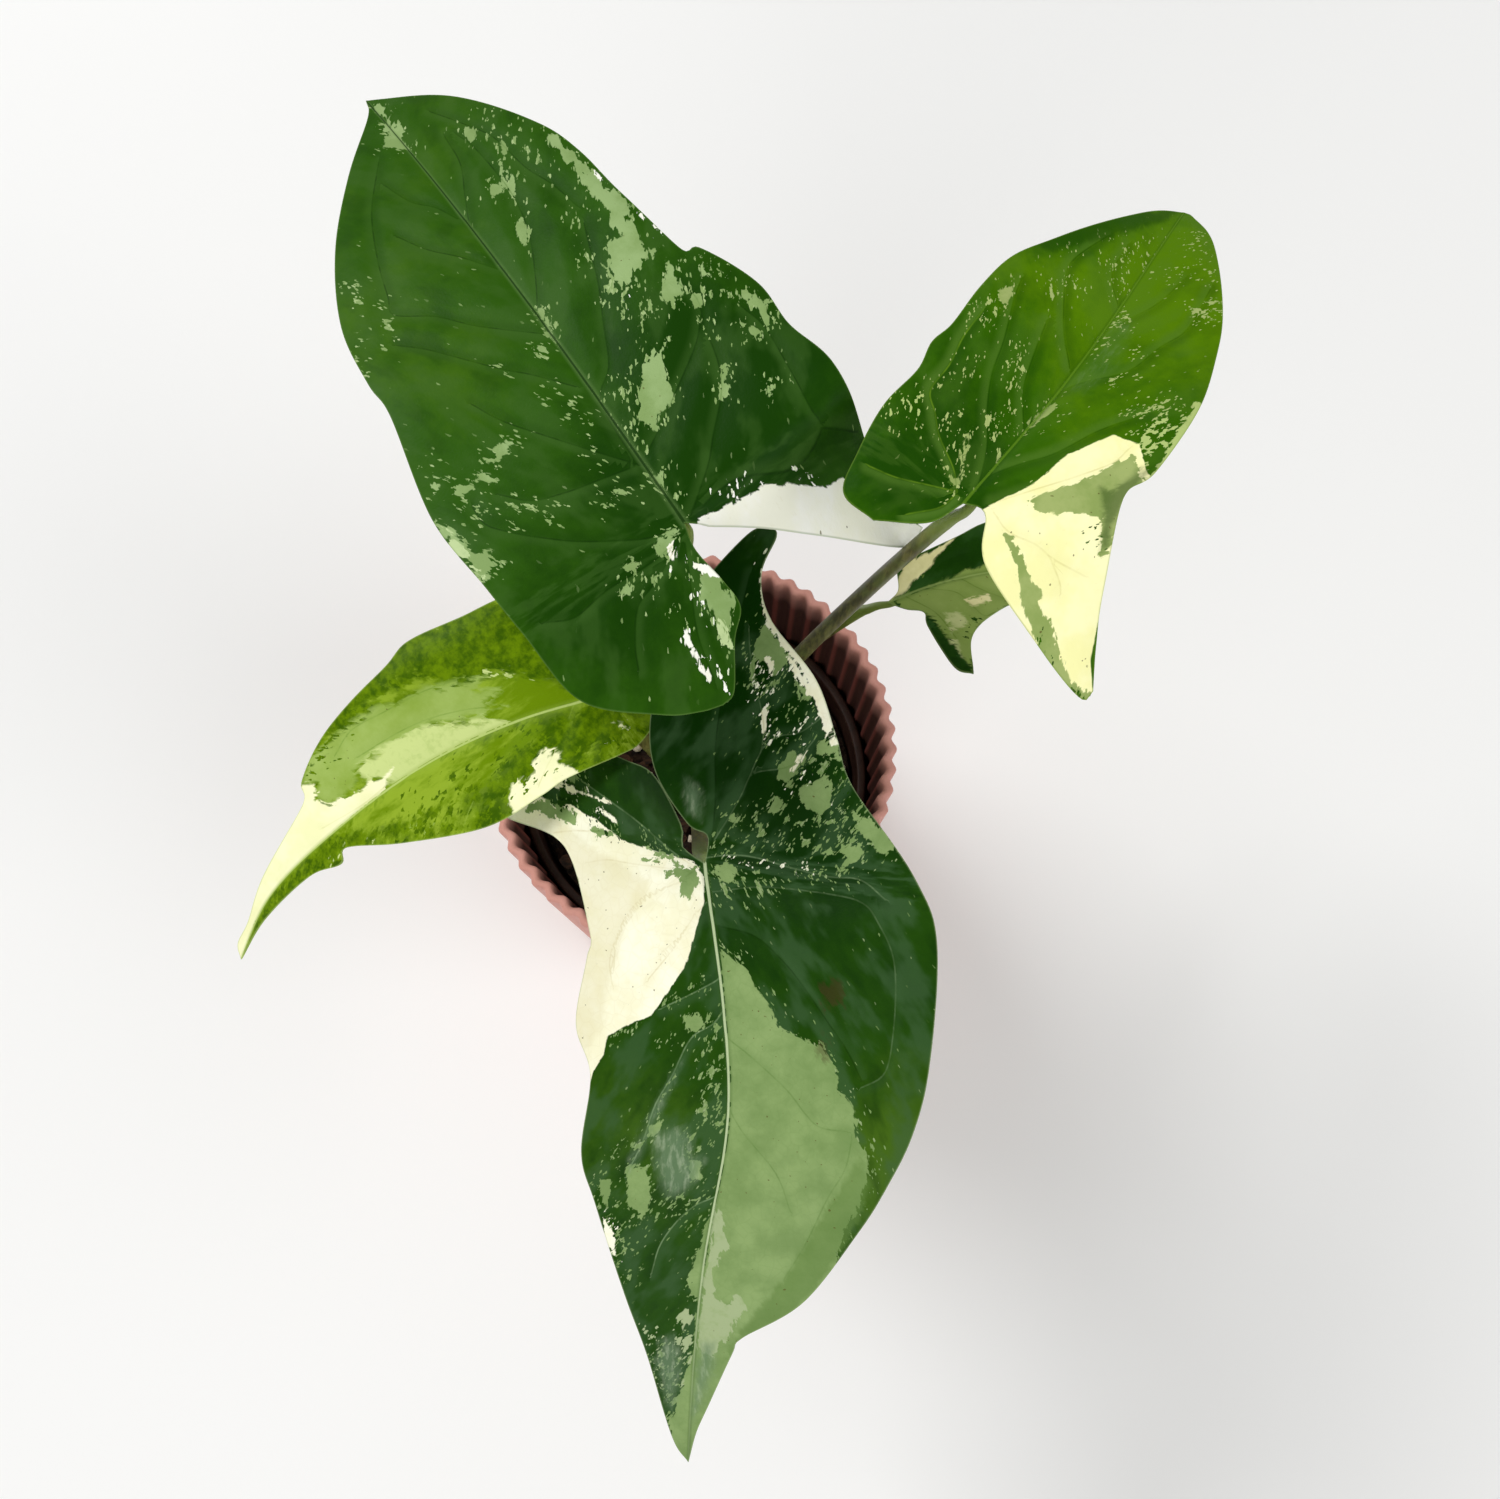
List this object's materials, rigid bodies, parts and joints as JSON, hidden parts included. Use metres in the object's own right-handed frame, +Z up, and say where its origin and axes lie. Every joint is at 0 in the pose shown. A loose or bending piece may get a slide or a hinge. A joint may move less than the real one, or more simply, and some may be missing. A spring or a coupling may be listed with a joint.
{
  "type": "arrowhead plant",
  "caption": "Variegated arrowhead plant with broad waved leaves on arching stalks, rooted in a nursery pot that stands inside a fluted cover pot.",
  "frame": {"origin": "middle of the flat base of the cover pot, on the surface that it stands on", "axes": "+Z up, -Y towards the front leaf and the viewer, +X to the viewer's right"},
  "size_m": [0.1919, 0.2574, 0.2486],
  "materials": {
    "pink_plastic": "matte",
    "brown_plastic": "satin",
    "potting_mix": "matte",
    "olive_stem": "satin",
    "dark_leaf": "satin",
    "bright_leaf": "satin",
    "lime_leaf": "satin"
  },
  "bodies": {
    "root": {"outer_pot": "pink_plastic", "inner_pot": "brown_plastic", "soil": "potting_mix", "stem_crown": "olive_stem", "stalk_upper_left": "olive_stem", "stalk_right": "olive_stem", "stalk_front": "olive_stem", "stalk_left": "olive_stem", "stalk_small": "olive_stem", "leaf_upper_left": "dark_leaf", "leaf_right": "bright_leaf", "leaf_front": "dark_leaf", "leaf_left": "lime_leaf", "leaf_small": "dark_leaf"}
  },
  "joints": []
}
